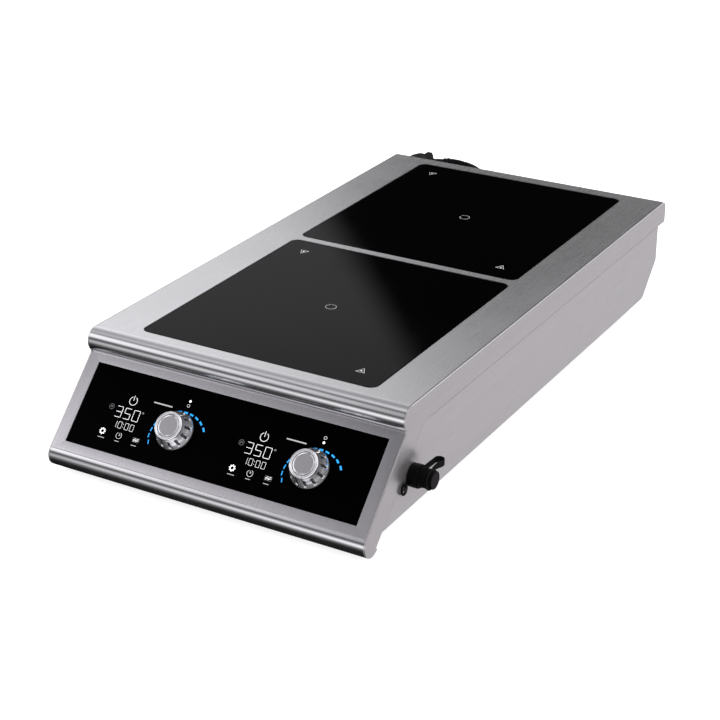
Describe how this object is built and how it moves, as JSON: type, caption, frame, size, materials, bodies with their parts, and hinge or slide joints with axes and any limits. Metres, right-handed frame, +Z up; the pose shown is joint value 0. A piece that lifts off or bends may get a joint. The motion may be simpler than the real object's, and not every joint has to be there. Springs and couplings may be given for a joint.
{
  "type": "induction hob",
  "caption": "Countertop induction hob with black glass cooking zones one behind the other, an inclined glass control front with knobs, a probe socket and a power cord.",
  "frame": {"origin": "centre of the base pan's flat underside, on the mid-plane of the width", "axes": "+Z up, +X to the right-hand side, -Y towards the control front, +Y to the rear"},
  "size_m": [0.41, 0.7995, 0.137],
  "materials": {
    "stainless_top": "brushed, satin",
    "stainless_side": "brushed, satin",
    "cooking_glass": "black, polished",
    "control_glass": "black, polished, printed",
    "edge_seal": "matte",
    "zinc_sheet": "zinc-plated",
    "coil_litz": "varnished litz wire",
    "carrier_plastic": "matte",
    "ferrite": "matte",
    "aluminium": "plain",
    "circuit_board": "solder resist",
    "black_plastic": "fine matte",
    "chrome": "polished",
    "satin_metal": "satin",
    "brass": "turned",
    "soft_rubber": "matte",
    "cord_jacket": "smooth matte"
  },
  "bodies": {
    "housing": {"deck_top": "stainless_top", "control_fascia": "stainless_top", "cheek_left": "stainless_side", "cheek_right": "stainless_side", "base_pan": "stainless_side", "rear_vent_panel": "stainless_side", "glass_front": "cooking_glass", "glass_rear": "cooking_glass", "control_glass": "control_glass", "glass_seal_front": "edge_seal", "glass_seal_rear": "edge_seal", "glass_frame_front": "zinc_sheet", "glass_frame_rear": "zinc_sheet", "control_box_back": "zinc_sheet", "mains_filter": "zinc_sheet", "encoder_left": "zinc_sheet", "encoder_right": "zinc_sheet", "anchor_screw": "zinc_sheet", "coil_winding_front": "coil_litz", "coil_winding_rear": "coil_litz", "coil_carrier_front": "carrier_plastic", "coil_carrier_rear": "carrier_plastic", "terminal_block": "carrier_plastic", "ferrite_star_front": "ferrite", "ferrite_star_rear": "ferrite", "coil_tray_front": "aluminium", "coil_tray_rear": "aluminium", "heatsink_front": "aluminium", "heatsink_rear": "aluminium", "power_board_front": "circuit_board", "power_board_rear": "circuit_board", "display_board": "circuit_board", "fan_frame_front": "black_plastic", "fan_frame_rear": "black_plastic", "temp_sensor_front": "black_plastic", "temp_sensor_rear": "black_plastic", "control_glass_frame": "black_plastic", "probe_socket": "black_plastic", "cord_gland": "black_plastic", "probe_socket_nut": "brass", "cap_tether": "soft_rubber", "anchor_loop": "soft_rubber", "cord_tie_left": "soft_rubber", "cord_tie_bottom": "soft_rubber", "power_cord": "cord_jacket", "power_plug": "cord_jacket"},
    "knob_left": {"knob_left": "chrome", "knob_inlay_left": "satin_metal", "knob_shaft_left": "brass"},
    "knob_right": {"knob_right": "chrome", "knob_inlay_right": "satin_metal", "knob_shaft_right": "brass"},
    "fan_front": {"fan_impeller_front": "black_plastic"},
    "fan_rear": {"fan_impeller_rear": "black_plastic"},
    "cap_tether_end": {"cap_tether_ring": "soft_rubber"},
    "probe_cap": {"probe_cap": "black_plastic"},
    "foot_front_left": {"foot_front_left": "black_plastic"},
    "foot_front_right": {"foot_front_right": "black_plastic"},
    "foot_rear_left": {"foot_rear_left": "black_plastic"},
    "foot_rear_right": {"foot_rear_right": "black_plastic"}
  },
  "joints": [
    {"name": "knob_left_turn", "type": "hinge", "parent": "housing", "child": "knob_left", "pos_m": [-0.05445, -0.3384, 0.04382], "axis": [0, -0.7106, 0.7036], "continuous": true},
    {"name": "knob_right_turn", "type": "hinge", "parent": "housing", "child": "knob_right", "pos_m": [0.10685, -0.3384, 0.04382], "axis": [0, -0.7106, 0.7036], "continuous": true},
    {"name": "fan_front_spin", "type": "hinge", "parent": "housing", "child": "fan_front", "pos_m": [-0.1, -0.15, 0.015], "axis": [0, 0, 1], "continuous": true},
    {"name": "fan_rear_spin", "type": "hinge", "parent": "housing", "child": "fan_rear", "pos_m": [-0.1, 0.13, 0.015], "axis": [0, 0, 1], "continuous": true},
    {"name": "probe_cap_pull", "type": "slide", "parent": "housing", "child": "cap_tether_end", "axis": [1, 0, 0], "range_m": [0, 0.014]},
    {"name": "probe_cap_turn", "type": "hinge", "parent": "cap_tether_end", "child": "probe_cap", "pos_m": [0.2, -0.286, 0.0365], "axis": [1, 0, 0], "continuous": true},
    {"name": "foot_front_left_extend", "type": "slide", "parent": "housing", "child": "foot_front_left", "axis": [0, 0, -1], "range_m": [0, 0.008]},
    {"name": "foot_front_right_extend", "type": "slide", "parent": "housing", "child": "foot_front_right", "axis": [0, 0, -1], "range_m": [0, 0.008]},
    {"name": "foot_rear_left_extend", "type": "slide", "parent": "housing", "child": "foot_rear_left", "axis": [0, 0, -1], "range_m": [0, 0.008]},
    {"name": "foot_rear_right_extend", "type": "slide", "parent": "housing", "child": "foot_rear_right", "axis": [0, 0, -1], "range_m": [0, 0.008]}
  ]
}
